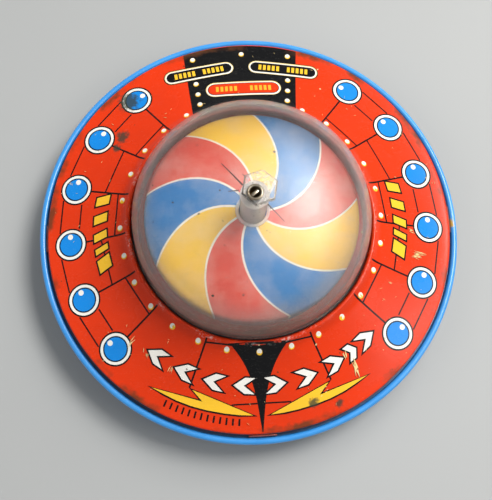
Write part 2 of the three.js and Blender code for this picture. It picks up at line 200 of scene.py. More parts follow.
def makeScuffs():
    # short fine scratches in three directions, thinned out by a slow noise
    group, given, out = newGroup("scuffs", ("Scale", "Amount"))
    total = None
    for turn, stretch, seed in ((0.5, 16, 0.013), (1.7, 22, 0.031), (2.6, 18, 0.057)):
        placed = addNode(group, "ShaderNodeMapping",
                         {"Vector": given["Vector"], "Location": (seed, seed * 2, seed * 3),
                          "Rotation": (0, 0, turn), "Scale": (1, stretch, 1)}).outputs[0]
        line = remap(group, noiseOf(group, placed, given["Scale"], 2.0, 0.6), 0.66, 0.74)
        patchy = noiseOf(group, placed, 130.0 * turn, 1.0)
        thinned = times(group, line, remap(group, patchy, 0.48, 0.64))
        total = thinned if total is None else calc(group, "MAXIMUM", total, thinned)
    group.links.new(times(group, total, given["Amount"], clamp=True), out[0])
    return group


def makeSpecks():
    # small round chips and dust, one to a Voronoi cell, kept only in some of the cells
    group, given, out = newGroup("specks", ("Scale", "Size", "Share"))
    ragged = addNode(group, "ShaderNodeTexNoise", {"Vector": given["Vector"], "Scale": 2600.0}).outputs[1]
    shifted = vectorCalc(group, "MULTIPLY", ragged, (0.00045,) * 3)
    place = vectorCalc(group, "ADD", given["Vector"], shifted)
    cells = addNode(group, "ShaderNodeTexVoronoi", {"Vector": place, "Scale": given["Scale"]}).outputs
    channels = addNode(group, "ShaderNodeSeparateColor", {0: cells["Color"]}).outputs
    kept = calc(group, "LESS_THAN", channels[0], given["Share"])
    inside = calc(group, "LESS_THAN", cells["Distance"], times(group, given["Size"], channels[1]))
    group.links.new(times(group, kept, inside), out[0])
    return group


def makeRingMask():
    # 1 on a circle round the spin axis and 0 past its half width, roughened by noise
    group, given, out = newGroup("ringMask", ("Radius", "Width", "Rag"))
    noise = noiseOf(group, given["Vector"], 420.0, 5.0)
    swing = times(group, minus(group, noise, 0.5), given["Rag"])
    ragged = plus(group, radiusOf(group, given["Vector"]), swing)
    off = calc(group, "ABSOLUTE", minus(group, ragged, given["Radius"]))
    group.links.new(remap(group, calc(group, "DIVIDE", off, given["Width"]), 1.0, 0.35), out[0])
    return group


def makeSmudge():
    # a blurred, ragged spot about a point in plan
    group, given, out = newGroup("smudge", ("Centre", "Radius"))
    noise = noiseOf(group, given["Vector"], 700.0, 4.0, 0.65)
    away = vectorCalc(group, "DISTANCE", flatOf(group, given["Vector"]), given["Centre"])
    share = calc(group, "DIVIDE", away, given["Radius"])
    group.links.new(remap(group, plus(group, share, times(group, noise, 1.6)), 1.75, 1.25), out[0])
    return group


scuffs = makeScuffs()
specks = makeSpecks()
ringMask = makeRingMask()
smudge = makeSmudge()


def startMaterial(name, settings=None):
    material = bpy.data.materials.new(name)
    material.use_nodes = True
    tree = material.node_tree
    shader = tree.nodes["Principled BSDF"]
    for label, value in (settings or {}).items():
        shader.inputs[label].default_value = value
    coords = tree.nodes.new("ShaderNodeTexCoord").outputs["Object"]
    return material, tree, shader, coords


def plug(shader, label, value):
    shader.id_data.links.new(value, shader.inputs[label])


def bumpTo(tree, shader, height, strength, distance):
    bump = addNode(tree, "ShaderNodeBump", {"Strength": strength, "Distance": distance, "Height": height})
    plug(shader, "Normal", bump.outputs[0])


# inks and the other finishes

inkColors = {
    "red": (0.70, 0.036, 0.003, 1),
    "black": (0.004, 0.004, 0.0045, 1),
    "white": (0.86, 0.83, 0.76, 1),
    "cream": (0.84, 0.66, 0.30, 1),
    "yellow": (0.90, 0.52, 0.03, 1),
    "orange": (0.92, 0.42, 0.03, 1),
    "lens": (0.006, 0.235, 0.70, 1),
    "lensEdge": (0.004, 0.012, 0.035, 1),
}

wearSetup = {
    "bare": (0.62, 0.47, 0.24, 1),  # primer and bare tin under the ink
    # pale rubbed tone, also used as painted highlight on the collar's crest
    "rubbedAndSheen": (0.72, 0.68, 0.62, 1),
    "rust": (0.10, 0.035, 0.012, 1),
    "dust": (0.42, 0.38, 0.33, 1),
    "stain": (0.035, 0.045, 0.03, 1),
    "crestRadius": 0.0424,
    "stains": (((-0.0416, 0.0496), 0.0048), ((-0.0440, 0.0348), 0.0030), ((-0.0462, 0.0304), 0.0021),
               ((0.0176, -0.0622), 0.0021), ((0.0262, -0.0628), 0.0017)),
}


def makeWornInk(setup):
    # the same coordinates in every ink give scratches and stains that run on from one ink to the next
    group, given, out = newGroup("wornInk", ("Color",), ("Color", "Roughness", "Height"))
    vector = given["Vector"]
    cloud = noiseOf(group, vector, 55.0, 4.0, 0.6)
    color = mixColor(group, remap(group, cloud, 0.35, 0.75, 0.0, 0.22), given["Color"],
                     (0.5, 0.42, 0.38, 1), "MULTIPLY")
    fine = maskOf(group, scuffs, vector, 620.0, 0.55)
    color = mixColor(group, times(group, fine, 0.35), color, setup["rubbedAndSheen"])
    chips = maskOf(group, specks, vector, 210.0, 0.11, 0.16)
    color = mixColor(group, chips, color, setup["bare"])
    pits = maskOf(group, specks, vector, 330.0, 0.12, 0.10)
    color = mixColor(group, times(group, pits, 0.8), color, setup["rust"])
    # the collar's crest made pale: real wear, and painted highlight for the sheen along the crest
    crest = maskOf(group, ringMask, vector, setup["crestRadius"], 0.0009, 0.0020)
    grain = times(group, remap(group, noiseOf(group, vector, 1100.0, 5.0, 0.7), 0.50, 0.62),
                  remap(group, noiseOf(group, vector, 70.0, 2.0), 0.46, 0.60))
    rubbedAndSheen = times(group, crest, grain)
    color = mixColor(group, times(group, rubbedAndSheen, 0.7), color, setup["rubbedAndSheen"])
    # a ragged dark band along the cover's outer edge, in the rust colour
    edge = maskOf(group, ringMask, vector, 0.0710, 0.0021, 0.0036)
    edgeDarkBand = times(group, edge, remap(group, cloud, 0.48, 0.62))
    color = mixColor(group, times(group, edgeDarkBand, 0.85), color, setup["rust"])
    for (x, y), radius in setup["stains"]:
        spot = maskOf(group, smudge, vector, (x, y, 0), radius)
        color = mixColor(group, times(group, spot, 0.88), color, setup["stain"])
    group.links.new(color, out["Color"])
    worn = plus(group, times(group, fine, 0.3), rubbedAndSheen, clamp=True)
    rough = plus(group, remap(group, cloud, 0.3, 0.7, 0.2, 0.36), times(group, worn, 0.3))
    group.links.new(rough, out["Roughness"])
    cuts = plus(group, times(group, fine, 0.5), chips)
    group.links.new(minus(group, noiseOf(group, vector, 240.0, 2.0),
                          times(group, cuts, 0.8)), out["Height"])
    return group


wornInk = makeWornInk(wearSetup)


def makeInk(name, color):
    material, tree, shader, coords = startMaterial(
        "ink_" + name, {"Specular IOR Level": 0.24, "Coat Weight": 0.1, "Coat Roughness": 0.22})
    ink = addNode(tree, "ShaderNodeGroup", {"Vector": coords, "Color": color}, node_tree=wornInk).outputs
    plug(shader, "Base Color", ink["Color"])
    plug(shader, "Roughness", ink["Roughness"])
    bumpTo(tree, shader, ink["Height"], 0.25, 0.00006)
    return material


def makeRimPaint():
    material, tree, shader, coords = startMaterial("rim_paint", {"Coat Weight": 0.5, "Coat Roughness": 0.18})
    cloud = noiseOf(tree, coords, 60.0, 4.0, 0.6)
    color = mixColor(tree, remap(tree, cloud, 0.35, 0.7), (0.035, 0.27, 0.68, 1), (0.05, 0.33, 0.78, 1))
    # painted shade: the groove between the bead and the shoulder wall is darkened to navy, kept off the
    # underside by height
    groove = maskOf(tree, ringMask, coords, 0.0719, 0.0011, 0.0004)
    height = addNode(tree, "ShaderNodeSeparateXYZ", {0: coords}).outputs[2]
    grooveShade = times(tree, groove, remap(tree, height, 0.0126, 0.0134, 0.0, 0.92))
    color = mixColor(tree, grooveShade, color, (0.006, 0.014, 0.04, 1))
    fine = maskOf(tree, scuffs, coords, 500.0, 0.7)
    color = mixColor(tree, times(tree, fine, 0.4), color, (0.45, 0.62, 0.80, 1))
    chips = maskOf(tree, specks, coords, 170.0, 0.16, 0.10)
    color = mixColor(tree, chips, color, (0.45, 0.30, 0.10, 1))
    chipped = maskOf(tree, smudge, coords, (0.0725, -0.0012, 0), 0.0021)
    color = mixColor(tree, chipped, color, (0.55, 0.36, 0.07, 1))
    plug(shader, "Base Color", color)
    rough = plus(tree, remap(tree, cloud, 0.3, 0.7, 0.26, 0.40), times(tree, fine, 0.2))
    plug(shader, "Roughness", rough)
    peel = minus(tree, noiseOf(tree, coords, 380.0, 2.0), times(tree, chips, 0.8))
    bumpTo(tree, shader, peel, 0.25, 0.00008)
    return material


swirlSetup = {
    "sectors": 9,
    "start": 34.5,  # where one dividing line leaves the hub, in degrees
    "sweep": 52.0,  # how far a line has turned at the rim
    "bow": 1.1,
    "rim": 36.2 * mm,
    "lineWidth": 0.75 * mm,
    "yellow": (0.93, 0.56, 0.04, 1),
    "red": (0.70, 0.075, 0.045, 1),
    "blue": (0.02, 0.19, 0.50, 1),
    "line": (0.90, 0.86, 0.76, 1),
}


def makeSwirlPrint(setup):
    material, tree, shader, coords = startMaterial(
        "swirl_print", {"Coat Weight": 0.2, "Coat Roughness": 0.25})
    axes = addNode(tree, "ShaderNodeSeparateXYZ", {0: coords})
    angle = calc(tree, "ARCTAN2", axes.outputs[1], axes.outputs[0])
    radius = radiusOf(tree, coords)
    share = calc(tree, "DIVIDE", radius, setup["rim"])
    twist = times(tree, calc(tree, "POWER", share, setup["bow"]), math.radians(setup["sweep"]))
    turned = minus(tree, minus(tree, angle, twist), math.radians(setup["start"]))
    count = setup["sectors"]
    along = times(tree, turned, count / (2 * math.pi))
    positive = plus(tree, along, 2.0 * count)
    inSector = calc(tree, "FRACT", positive)
    index = calc(tree, "MODULO", calc(tree, "FLOOR", positive), 3.0)
    isFirst = calc(tree, "LESS_THAN", index, 0.5)
    isLast = calc(tree, "GREATER_THAN", index, 1.5)
    color = mixColor(tree, isFirst, setup["red"], setup["yellow"])
    color = mixColor(tree, isLast, color, setup["blue"])
    cloud = noiseOf(tree, coords, 90.0, 4.0, 0.6)
    color = mixColor(tree, remap(tree, cloud, 0.4, 0.75, 0.0, 0.3), color, (0.75, 0.68, 0.62, 1))
    toLine = minus(tree, 0.5, calc(tree, "ABSOLUTE", minus(tree, inSector, 0.5)))
    arcLength = times(tree, times(tree, toLine, radius), 2 * math.pi / count)
    half = setup["lineWidth"] / 2
    line = remap(tree, arcLength, half * 1.2, half * 0.8)
    color = mixColor(tree, line, color, setup["line"])
    dirt = maskOf(tree, specks, coords, 230.0, 0.13, 0.2)
    color = mixColor(tree, times(tree, dirt, 0.7), color, (0.08, 0.05, 0.03, 1))
    plug(shader, "Base Color", color)
    plug(shader, "Roughness", remap(tree, cloud, 0.3, 0.7, 0.34, 0.5))
    bumpTo(tree, shader, cloud, 0.2, 0.0001)
    return material


domeLook = {
    "clear": (0.98, 0.97, 0.95, 1),
    "lowTint": (0.42, 0.325, 0.255, 1),
    "frost": (0.80, 0.77, 0.73, 1),
    "grime": (0.10, 0.075, 0.05, 1),
    "tintTop": 0.049,  # height where the wall's grey-brown tint and loss of clearness begin
    "tintFull": 0.038,
    "bossBase": 0.0560,  # heights between which the frost on the boss comes in
    "bossTop": 0.0566,
}

bossSizes = {
    "flats": 5.02,  # from the boss's middle to each of its six flats
    "height": 0.78,
    "middle": (1.6, 1.8),
    "turn": 48.0,
    "edge": 0.3,
}


def makeDomePlastic(setup, boss):
    material, tree, shader, coords = startMaterial(
        "dome_plastic", {"IOR": 1.1, "Coat Roughness": 0.43})
    height = addNode(tree, "ShaderNodeSeparateXYZ", {0: coords}).outputs[2]
    # the wall below tintTop is tinted grey-brown and made less clear
    low = remap(tree, height, setup["tintTop"], setup["tintFull"])
    cloud = noiseOf(tree, coords, 45.0, 4.0, 0.6)
    plug(shader, "Coat Weight", remap(tree, low, 0.0, 1.0, 1.0, 0.1))
    low = times(tree, low, remap(tree, cloud, 0.3, 0.7, 0.5, 0.8))
    color = mixColor(tree, low, setup["clear"], setup["lowTint"])
    # frost on the hexagonal boss and a ragged dark line along its edge
    onTop = remap(tree, height, setup["bossBase"], setup["bossTop"])
    fromMiddle = vectorCalc(tree, "SUBTRACT", coords, [side * mm for side in boss["middle"]] + [0])
    flats = None
    for k in range(3):
        direction = polar(1, boss["turn"] + 60 * k) + (0,)
        across = calc(tree, "ABSOLUTE", vectorCalc(tree, "DOT_PRODUCT", fromMiddle, direction))
        flats = across if flats is None else calc(tree, "MAXIMUM", flats, across)
    beyond = minus(tree, flats, boss["flats"] * mm)
    inside = times(tree, remap(tree, beyond, 0.0, -0.0004), onTop)
    ragged = noiseOf(tree, coords, 700.0, 5.0, 0.7)
    frost = times(tree, inside, remap(tree, ragged, 0.4, 0.65, 0.12, 0.6))
    color = mixColor(tree, frost, color, setup["frost"])
    corner = remap(tree, calc(tree, "ABSOLUTE", beyond), 0.00028, 0.0001)
    corner = times(tree, times(tree, corner, onTop), remap(tree, ragged, 0.4, 0.55))
    color = mixColor(tree, corner, color, setup["grime"])
    fine = maskOf(tree, scuffs, coords, 520.0, 0.9)
    dust = maskOf(tree, specks, coords, 280.0, 0.13, 0.25)
    color = mixColor(tree, times(tree, fine, 0.5), color, setup["frost"])
    color = mixColor(tree, dust, color, setup["grime"])
    plug(shader, "Base Color", color)
    solidShare = plus(tree, times(tree, low, 0.42), times(tree, frost, 0.6))
    solidShare = plus(tree, solidShare, times(tree, corner, 0.8))
    solidShare = plus(tree, solidShare, times(tree, fine, 0.4))
    solidShare = plus(tree, solidShare, times(tree, dust, 0.75), clamp=True)
    plug(shader, "Transmission Weight", minus(tree, 1.0, solidShare))
    scuffed = plus(tree, times(tree, fine, 0.2), times(tree, low, 0.12))
    plug(shader, "Roughness", plus(tree, remap(tree, cloud, 0.4, 0.7, 0.02, 0.05), scuffed))
    bumpTo(tree, shader, times(tree, fine, -1.0), 0.3, 0.00004)
    return material


def makeMilky():
    material, tree, shader, coords = startMaterial("milky_plastic", {"Transmission Weight": 0.7, "IOR": 1.12})
    cloud = noiseOf(tree, coords, 220.0, 3.0)
    color = mixColor(tree, remap(tree, cloud, 0.35, 0.7), (1.0, 0.97, 0.94, 1), (0.96, 0.92, 0.87, 1))
    plug(shader, "Base Color", color)
    plug(shader, "Roughness", remap(tree, cloud, 0.3, 0.7, 0.38, 0.55))
    bumpTo(tree, shader, noiseOf(tree, coords, 900.0), 0.1, 0.00005)
    return material


def makeMetal(name, bright, dull, rust, rustShare, rough):
    material, tree, shader, coords = startMaterial(name, {"Metallic": 1.0})
    cloud = noiseOf(tree, coords, 260.0, 5.0, 0.65)
    fine = maskOf(tree, scuffs, coords, 1500.0, 0.8)
    color = mixColor(tree, remap(tree, cloud, 0.35, 0.7), bright, dull)
    rusty = remap(tree, noiseOf(tree, coords, 480.0, 5.0, 0.7), 0.62 - rustShare, 0.70 - rustShare)
    color = mixColor(tree, times(tree, rusty, 0.85), color, rust)
    plug(shader, "Base Color", color)
    base = remap(tree, cloud, 0.3, 0.7, rough, rough + 0.18)
    lifted = plus(tree, base, times(tree, plus(tree, rusty, fine), 0.25))
    plug(shader, "Roughness", lifted)
    bumpTo(tree, shader, minus(tree, rusty, fine), 0.3, 0.00005)
    return material


def makePlain(name, light, dark, rough, grain, bumpSize, settings=None):
    # moulded plastic, rubber and fibre: a mottled colour, fine grain, scuffs and settled dust
    material, tree, shader, coords = startMaterial(name, settings)
    cloud = noiseOf(tree, coords, 120.0, 4.0, 0.6)
    color = mixColor(tree, remap(tree, cloud, 0.35, 0.7), light, dark)
    fine = maskOf(tree, scuffs, coords, 600.0, 0.6)
    pale = tuple(0.55 * c + 0.2 for c in light[:3]) + (1,)
    color = mixColor(tree, times(tree, fine, 0.5), color, pale)
    dust = maskOf(tree, specks, coords, 420.0, 0.16, 0.12)
    color = mixColor(tree, times(tree, dust, 0.5), color, wearSetup["dust"])
    plug(shader, "Base Color", color)
    rough = plus(tree, remap(tree, cloud, 0.3, 0.7, rough, rough + 0.14), times(tree, fine, 0.2))
    plug(shader, "Roughness", rough)
    bumpTo(tree, shader, noiseOf(tree, coords, grain, 3.0), 0.3, bumpSize)
    return material


inks = {name: makeInk(name, color) for name, color in inkColors.items()}
rimPaint = makeRimPaint()
swirlPrint = makeSwirlPrint(swirlSetup)
domePlastic = makeDomePlastic(domeLook, bossSizes)
milkyPlastic = makeMilky()
tarnishedSteel = makeMetal("tarnished_steel", (0.46, 0.40, 0.30, 1), (0.25, 0.20, 0.14, 1),
                           (0.16, 0.06, 0.025, 1), 0.06, 0.26)
agedBrass = makeMetal("aged_brass", (0.72, 0.50, 0.20, 1), (0.42, 0.27, 0.10, 1),
                      (0.14, 0.09, 0.04, 1), 0.03, 0.24)
brownFibre = makePlain("brown_fibre", (0.20, 0.09, 0.045, 1), (0.11, 0.05, 0.03, 1), 0.62, 2400.0, 0.00006)
blackRubber = makePlain("black_rubber", (0.022, 0.021, 0.020, 1), (0.012, 0.012, 0.012, 1), 0.55, 1800.0,
                        0.00008)
footPlastic = makePlain("foot_plastic", (0.03, 0.17, 0.52, 1), (0.022, 0.13, 0.42, 1), 0.30, 1500.0,
                        0.00004, {"Coat Weight": 0.2, "Coat Roughness": 0.2})
crackLine = makePlain("crack_line", (0.09, 0.07, 0.06, 1), (0.04, 0.03, 0.025, 1), 0.35, 1500.0, 0.00002)
# the tabs are bent from the red cover's tin; their dark red-brown is painted shade for the shaded groove they
# lie in
tabShadedRed = makePlain("tab_shaded_red", (0.42, 0.11, 0.07, 1), (0.20, 0.045, 0.03, 1), 0.42, 900.0, 0.00006,
                     {"Coat Weight": 0.2})
print("materials made")


# mesh helpers

def arc(centreR, centreZ, radius, start, end, steps):
    points = []
    for i in range(steps + 1):
        angle = math.radians(start + (end - start) * i / steps)
        points.append((centreR + radius * math.cos(angle), centreZ + radius * math.sin(angle)))
    return points


def bent(start, knee, end, shares):
    return [tuple(start * (1 - t) ** 2 + knee * 2 * t * (1 - t) + end * t * t) for t in shares]


def rounded(outline, steps=4):
    # a closed outline whose points may carry a third number, the size of their round
    out = []
    for i, point in enumerate(outline):
        here = Vector(point[:2])
        if len(point) == 2:
            out.append(tuple(here))
            continue
        before = Vector(outline[i - 1][:2]) - here
        after = Vector(outline[(i + 1) % len(outline)][:2]) - here
        start = here + before.normalized() * min(point[2], before.length * 0.48)
        end = here + after.normalized() * min(point[2], after.length * 0.48)
        out += bent(start, here, end, [k / steps for k in range(steps + 1)])
    return out


def turned(outline, steps=128, closed=True):
    bm = bmesh.new()
    verts = [bm.verts.new((r * mm, 0, z * mm)) for r, z in outline]
    pairs = zip(verts, verts[1:] + (verts[:1] if closed else []))
    edges = [bm.edges.new(pair) for pair in pairs]
    bmesh.ops.spin(bm, geom=verts + edges, cent=(0, 0, 0), axis=(0, 0, 1), dvec=(0, 0, 0),
                   angle=2 * math.pi, steps=steps, use_merge=True, use_duplicate=False)
    bmesh.ops.remove_doubles(bm, verts=bm.verts, dist=1e-8)
    bmesh.ops.recalc_face_normals(bm, faces=bm.faces)
    return bm


def thickened(bm, wall):
    # an open skin, faced up and given its wall on the hidden side
    if max(bm.faces, key=lambda face: face.calc_center_median().z).normal.z < 0:
        bmesh.ops.reverse_faces(bm, faces=bm.faces)
    bmesh.ops.solidify(bm, geom=bm.faces[:], thickness=wall * mm)
    return bm


def finishPiece(bm, name, body, material, stands=(), sharp=35):
    mesh = bpy.data.meshes.new(name)
    bm.to_mesh(mesh)
    bm.free()
    mesh.shade_smooth()
    mesh.set_sharp_from_angle(angle=math.radians(sharp))
    mesh.materials.append(material)
    piece = bpy.data.objects.new(name, mesh)
    scene.collection.objects.link(piece)
    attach(piece, body)
    if stands:
        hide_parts(*stands)
    return piece


def boxOf(node):
    low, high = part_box(node)
    return low / mm, high / mm


# blue lower pan with its rim bead

panLow, panHigh = boxOf("lower_pan")
coverHigh = boxOf("printed_cover")[1]

panSizes = {
    "rim": panHigh.x,
    "bead": 1.2,
    "beadHeight": 14.0,
    "grooveDrop": 0.4,  # from the middle of the bead to the groove's floor
    "station": 0.8,  # between one ring of the underside and the next
    "shoulder": 70.85,
    "shoulderTop": 16.8,
    "shoulderWall": 1.5,
    "floor": panLow.z,
    "rise": 3.0,
    "flat": 20.0,
    "wall": 1.6,
    "bore": 4.605,
    "hub": 7.0,
    "hubTop": panHigh.z,
    "pressedRing": (47.0, 3.2, 0.55),  # radius, width and depth of a ring pressed up into the underside
}


def panUnderside(radius, sizes=panSizes):
    share = max(0, radius - sizes["flat"]) / (sizes["shoulder"] - sizes["flat"])
    ringRadius, ringWidth, ringDepth = sizes["pressedRing"]
    off = abs(radius - ringRadius) / (ringWidth / 2)
    pressed = ringDepth * math.cos(math.pi / 2 * off) ** 2 if off < 1 else 0
    return sizes["floor"] + sizes["rise"] * share * share + pressed


def makePan(sizes):
    beadR, shoulder = sizes["rim"] - sizes["bead"], sizes["shoulder"]
    inner, grooveFloor = shoulder - sizes["shoulderWall"], sizes["beadHeight"] - sizes["grooveDrop"]
    stations = [sizes["flat"] + i * sizes["station"] for i in range(64)]
    stations = [r for r in stations if r < shoulder - 0.3]
    under = [(r, panUnderside(r)) for r in stations]
    inside = [(r, panUnderside(r) + sizes["wall"]) for r in reversed(stations)]
    outline = rounded([
        (sizes["bore"], sizes["floor"]),
        *under,
        (shoulder + 0.3, panUnderside(shoulder) + 0.03, 0.2),
        *arc(beadR, sizes["beadHeight"], sizes["bead"], -118, 196, 30),
        (beadR - sizes["bead"] - 0.05, grooveFloor, 0.1),
        (shoulder, grooveFloor, 0.25),
        (shoulder, sizes["shoulderTop"], 0.3),
        (inner, sizes["shoulderTop"], 0.3),
        (inner, panUnderside(inner) + sizes["wall"], 0.6),
        *inside,
        (sizes["hub"], sizes["floor"] + sizes["wall"], 0.6),
        (sizes["hub"], sizes["hubTop"], 0.3),
        (sizes["bore"], sizes["hubTop"]),
    ])
    finishPiece(turned(outline, 256), "blue_pan", "saucer", rimPaint, ["lower_pan"], 50)


makePan(panSizes)


# printed cover

coverSizes = {
    "edge": coverHigh.x,
    "edgeTop": 17.5,
    "edgeRound": 0.7,
    "lip": 1.9,
    "edgeSlope": 9.0,
    "innerSlope": 24.0,
    "neck": 41.5,
    "crest": coverHigh.z,
    "roll": 0.8,
    "footWidth": 1.6,
    "footDrop": 2.2,
    "ledge": 24.7,
    "ledgeWidth": 6.2,
    "wall": 0.4,
    "tabWidth": 9.5,
    "tabLength": 3.4,
    "tabSpring": 0.75,  # how far a tab stands out into the groove
    "tabFall": 2.1,  # from the top of the cover's edge to where a tab runs straight down
    "tabBend": 0.5,
    "tabEase": 0.08,
    "neckRound": 0.6,
    "knee": (-0.25, 0.18),  # the collar's foot bends here, from the inner end of the flank
    "drapeFrom": 16.9,  # print lies on the tin above this height
}


def coverLine(sizes):
    # the side that shows, from the lip's lower edge up the flared flank to the collar and down its neck
    edge, top, rnd = sizes["edge"], sizes["edgeTop"], sizes["edgeRound"]
    outer = Vector((edge - rnd, top))
    footRadius = sizes["neck"] + 2 * sizes["roll"] + sizes["footWidth"]
    inner = Vector((footRadius, sizes["crest"] - sizes["footDrop"]))
    fallOut, fallIn = (math.tan(math.radians(sizes[slope])) for slope in ("edgeSlope", "innerSlope"))
    bendR = (inner.y - outer.y + fallIn * inner.x - fallOut * outer.x) / (fallIn - fallOut)
    bend = Vector((bendR, outer.y + fallOut * (outer.x - bendR)))
    line = [(edge, top - sizes["lip"]), (edge, top - rnd - 0.4)]
    line += arc(edge - rnd, top - rnd, rnd, 0, 84, 6)
    line += bent(outer, bend, inner, [i / 33 for i in range(1, 33)])
    crestR = sizes["neck"] + sizes["roll"]
    roll = arc(crestR, sizes["crest"] - sizes["roll"], sizes["roll"], 30, 180, 14)
    reach = Vector(line[-1])
    first = Vector(roll[0])
    knee = inner + Vector(sizes["knee"])
    line += bent(reach, knee, first, [i / 8 for i in range(1, 8)])
    line += roll
    bendR = sizes["neckRound"]
    line += arc(sizes["neck"] - bendR, sizes["ledge"] + bendR, bendR, 0, -90, 4)
    line.append((sizes["neck"] - sizes["ledgeWidth"], sizes["ledge"]))
    return line


coverShape = coverLine(coverSizes)
crestRadius = coverSizes["neck"] + coverSizes["roll"]
drapeLine = sorted(point for point in coverShape
                   if point[0] >= crestRadius and point[1] > coverSizes["drapeFrom"])


def coverHeight(radius):
    if radius <= drapeLine[0][0]:
        return drapeLine[0][1]
    for (r0, z0), (r1, z1) in zip(drapeLine, drapeLine[1:]):
        if radius <= r1:
            return z0 + (z1 - z0) * (radius - r0) / max(r1 - r0, 1e-9)
    return drapeLine[-1][1]


def makeCover(sizes):
    bm = thickened(turned(coverShape, 256, closed=False), sizes["wall"])
    finishPiece(bm, "litho_cover", "saucer", inks["red"], ["printed_cover"], 50)


def makeTab(index, sizes):
    # a strip down through the groove and folded in under the pan
    footTop = panUnderside(sizes["edge"] - sizes["tabLength"]) - 0.3
    outside = sizes["edge"] + sizes["tabSpring"]
    foot, bend = footTop - sizes["wall"], sizes["tabBend"]
    profile = [(outside - 0.3, sizes["edgeTop"] - sizes["lip"] + 0.35),
               (outside, sizes["edgeTop"] - sizes["tabFall"]),
               (outside, foot + bend), (outside - bend, foot), (sizes["edge"] - sizes["tabLength"], foot)]
    bm = bmesh.new()
    half = sizes["tabWidth"] / 2
    strips = [[bm.verts.new((r * mm, side * half * mm, z * mm)) for r, z in profile] for side in (-1, 1)]
    for i in range(len(profile) - 1):
        bm.faces.new((strips[0][i], strips[1][i], strips[1][i + 1], strips[0][i + 1]))
    bmesh.ops.recalc_face_normals(bm, faces=bm.faces)
    if bm.faces[:][0].normal.x < 0:
        bmesh.ops.reverse_faces(bm, faces=bm.faces)
    bmesh.ops.solidify(bm, geom=bm.faces[:], thickness=sizes["wall"] * mm)
    bmesh.ops.bevel(bm, geom=bm.edges[:], offset=sizes["tabEase"] * mm, segments=2, profile=0.5,
                    affect="EDGES", material=-1)
    bmesh.ops.rotate(bm, verts=bm.verts, cent=(0, 0, 0), matrix=Matrix.Rotation(index * math.pi / 2, 3, "Z"))
    # dark red-brown finish: painted shade on the red tin
    finishPiece(bm, "crimp_tab_%d" % (index + 1), "saucer", tabShadedRed)


makeCover(coverSizes)
for tabIndex in range(4):
    makeTab(tabIndex, coverSizes)
print("pan and cover made")


# print on the cover: flat outlines, diced, draped over the tin and given a little thickness

inkSetup = {
    "dice": 1.5,
    "lift": 0.03,  # between one layer of ink and the next
    "sink": 0.05,
}


def disc(x, y, radius, steps=36):
    return [(x + radius * math.cos(2 * math.pi * i / steps), y + radius * math.sin(2 * math.pi * i / steps))
            for i in range(steps)]


def stroke(a, b, width):
    a, b = Vector(a), Vector(b)
    side = (b - a).normalized().orthogonal() * width / 2
    return [tuple(a + side), tuple(b + side), tuple(b - side), tuple(a - side)]


def capsule(halfLength, halfWidth, steps=12):
    straight = halfLength - halfWidth
    right = [(straight + x, y) for x, y in arc(0, 0, halfWidth, -90, 90, steps)]
    left = [(x - straight, y) for x, y in arc(0, 0, halfWidth, 90, 270, steps)]
    return right + left


def moved(outline, x, y, turn):
    c, s = math.cos(math.radians(turn)), math.sin(math.radians(turn))
    return [(x + c * u - s * v, y + s * u + c * v) for u, v in outline]


def mirroredX(outline):
    return [(-x, y) for x, y in reversed(outline)]


def grown(outline, by):
    # an outline moved outwards all round, with its sharp corners held short
    area = sum(a[0] * b[1] - b[0] * a[1] for a, b in zip(outline, outline[1:] + outline[:1]))
    sign = 1 if area > 0 else -1
    out = []
    for i, point in enumerate(outline):
        here = Vector(point)
        into = (here - Vector(outline[i - 1])).normalized()
        away = (Vector(outline[(i + 1) % len(outline)]) - here).normalized()
        normalIn = Vector((into.y, -into.x)) * sign
        normalOut = Vector((away.y, -away.x)) * sign
        middle = (normalIn + normalOut).normalized()
        reach = min(by / max(middle.dot(normalIn), 0.05), 2.6 * by)
        out.append(tuple(here + middle * reach))
    return out


def layDown(name, outlines, ink, layer, setup=inkSetup):
    bm = bmesh.new()
    step = setup["dice"] * mm
    for outline in outlines:
        face = bm.faces.new([bm.verts.new((x * mm, y * mm, 0)) for x, y in outline])
        face.normal_update()
        if face.normal.z < 0:
            face.normal_flip()
        pieces = bmesh.ops.triangulate(bm, faces=[face])["faces"]
        corners = list({v for f in pieces for v in f.verts})
        geom = corners + list({e for f in pieces for e in f.edges}) + pieces
        for axis in (0, 1):
            values = [x[axis] * mm for x in outline]
            first, last = math.ceil(min(values) / step), math.floor(max(values) / step)
            direction = (1, 0, 0) if axis == 0 else (0, 1, 0)
            for k in range(first, last + 1):
                place = (k * step, 0, 0) if axis == 0 else (0, k * step, 0)
                geom = bmesh.ops.bisect_plane(bm, geom=geom, dist=1e-7, plane_co=place,
                                              plane_no=direction)["geom"]
    top = setup["lift"] * layer
    for vert in bm.verts:
        vert.co.z = (coverHeight(vert.co.xy.length / mm) + top) * mm
    bmesh.ops.solidify(bm, geom=bm.faces[:], thickness=(top + setup["sink"]) * mm)
    finishPiece(bm, name, "saucer", inks[ink])


lensSizes = {
    "ring": 63.1,
    "first": 52.0,
    "step": 18.43,
    "count": 6,
    "line": 5.8,
    "white": 5.26,
    "edge": 4.32,
    "blue": 3.86,
    "spark": 0.95,
    "sparkAway": 2.75,
}

lensPlaces = [(side, lensSizes["first"] - k * lensSizes["step"]) for side in (1, -1)
              for k in range(lensSizes["count"])]


